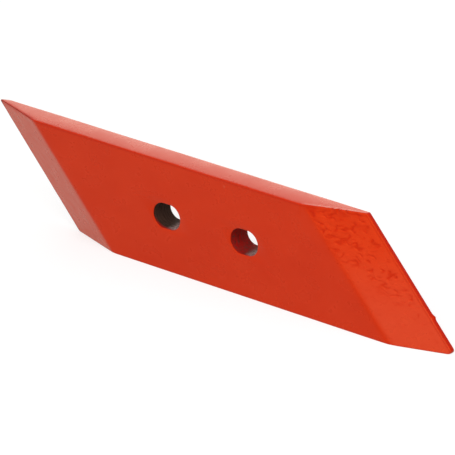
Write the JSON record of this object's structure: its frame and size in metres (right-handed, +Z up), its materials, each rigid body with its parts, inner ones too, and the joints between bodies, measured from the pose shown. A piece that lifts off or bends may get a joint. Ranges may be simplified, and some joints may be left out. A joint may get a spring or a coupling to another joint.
{
  "type": "plowshare point",
  "caption": "Reversible plowshare point: a flat forged bar with skewed, bevelled ends and two bolt slots in line, painted red.",
  "frame": {"origin": "under the middle of the bar, on the surface that its lower long edge stands on", "axes": "+X along the bar, -Y out of the front face with the two bevels, +Y out of the flat back face, +Z up across the width of the bar"},
  "size_m": [0.292, 0.0126, 0.06],
  "materials": {
    "red_paint": "thick glossy red-orange dip or spray paint over forged and rolled steel, thin and patchy inside the slots"
  },
  "bodies": {
    "root": {"plowshare_point": "red_paint"}
  },
  "joints": []
}
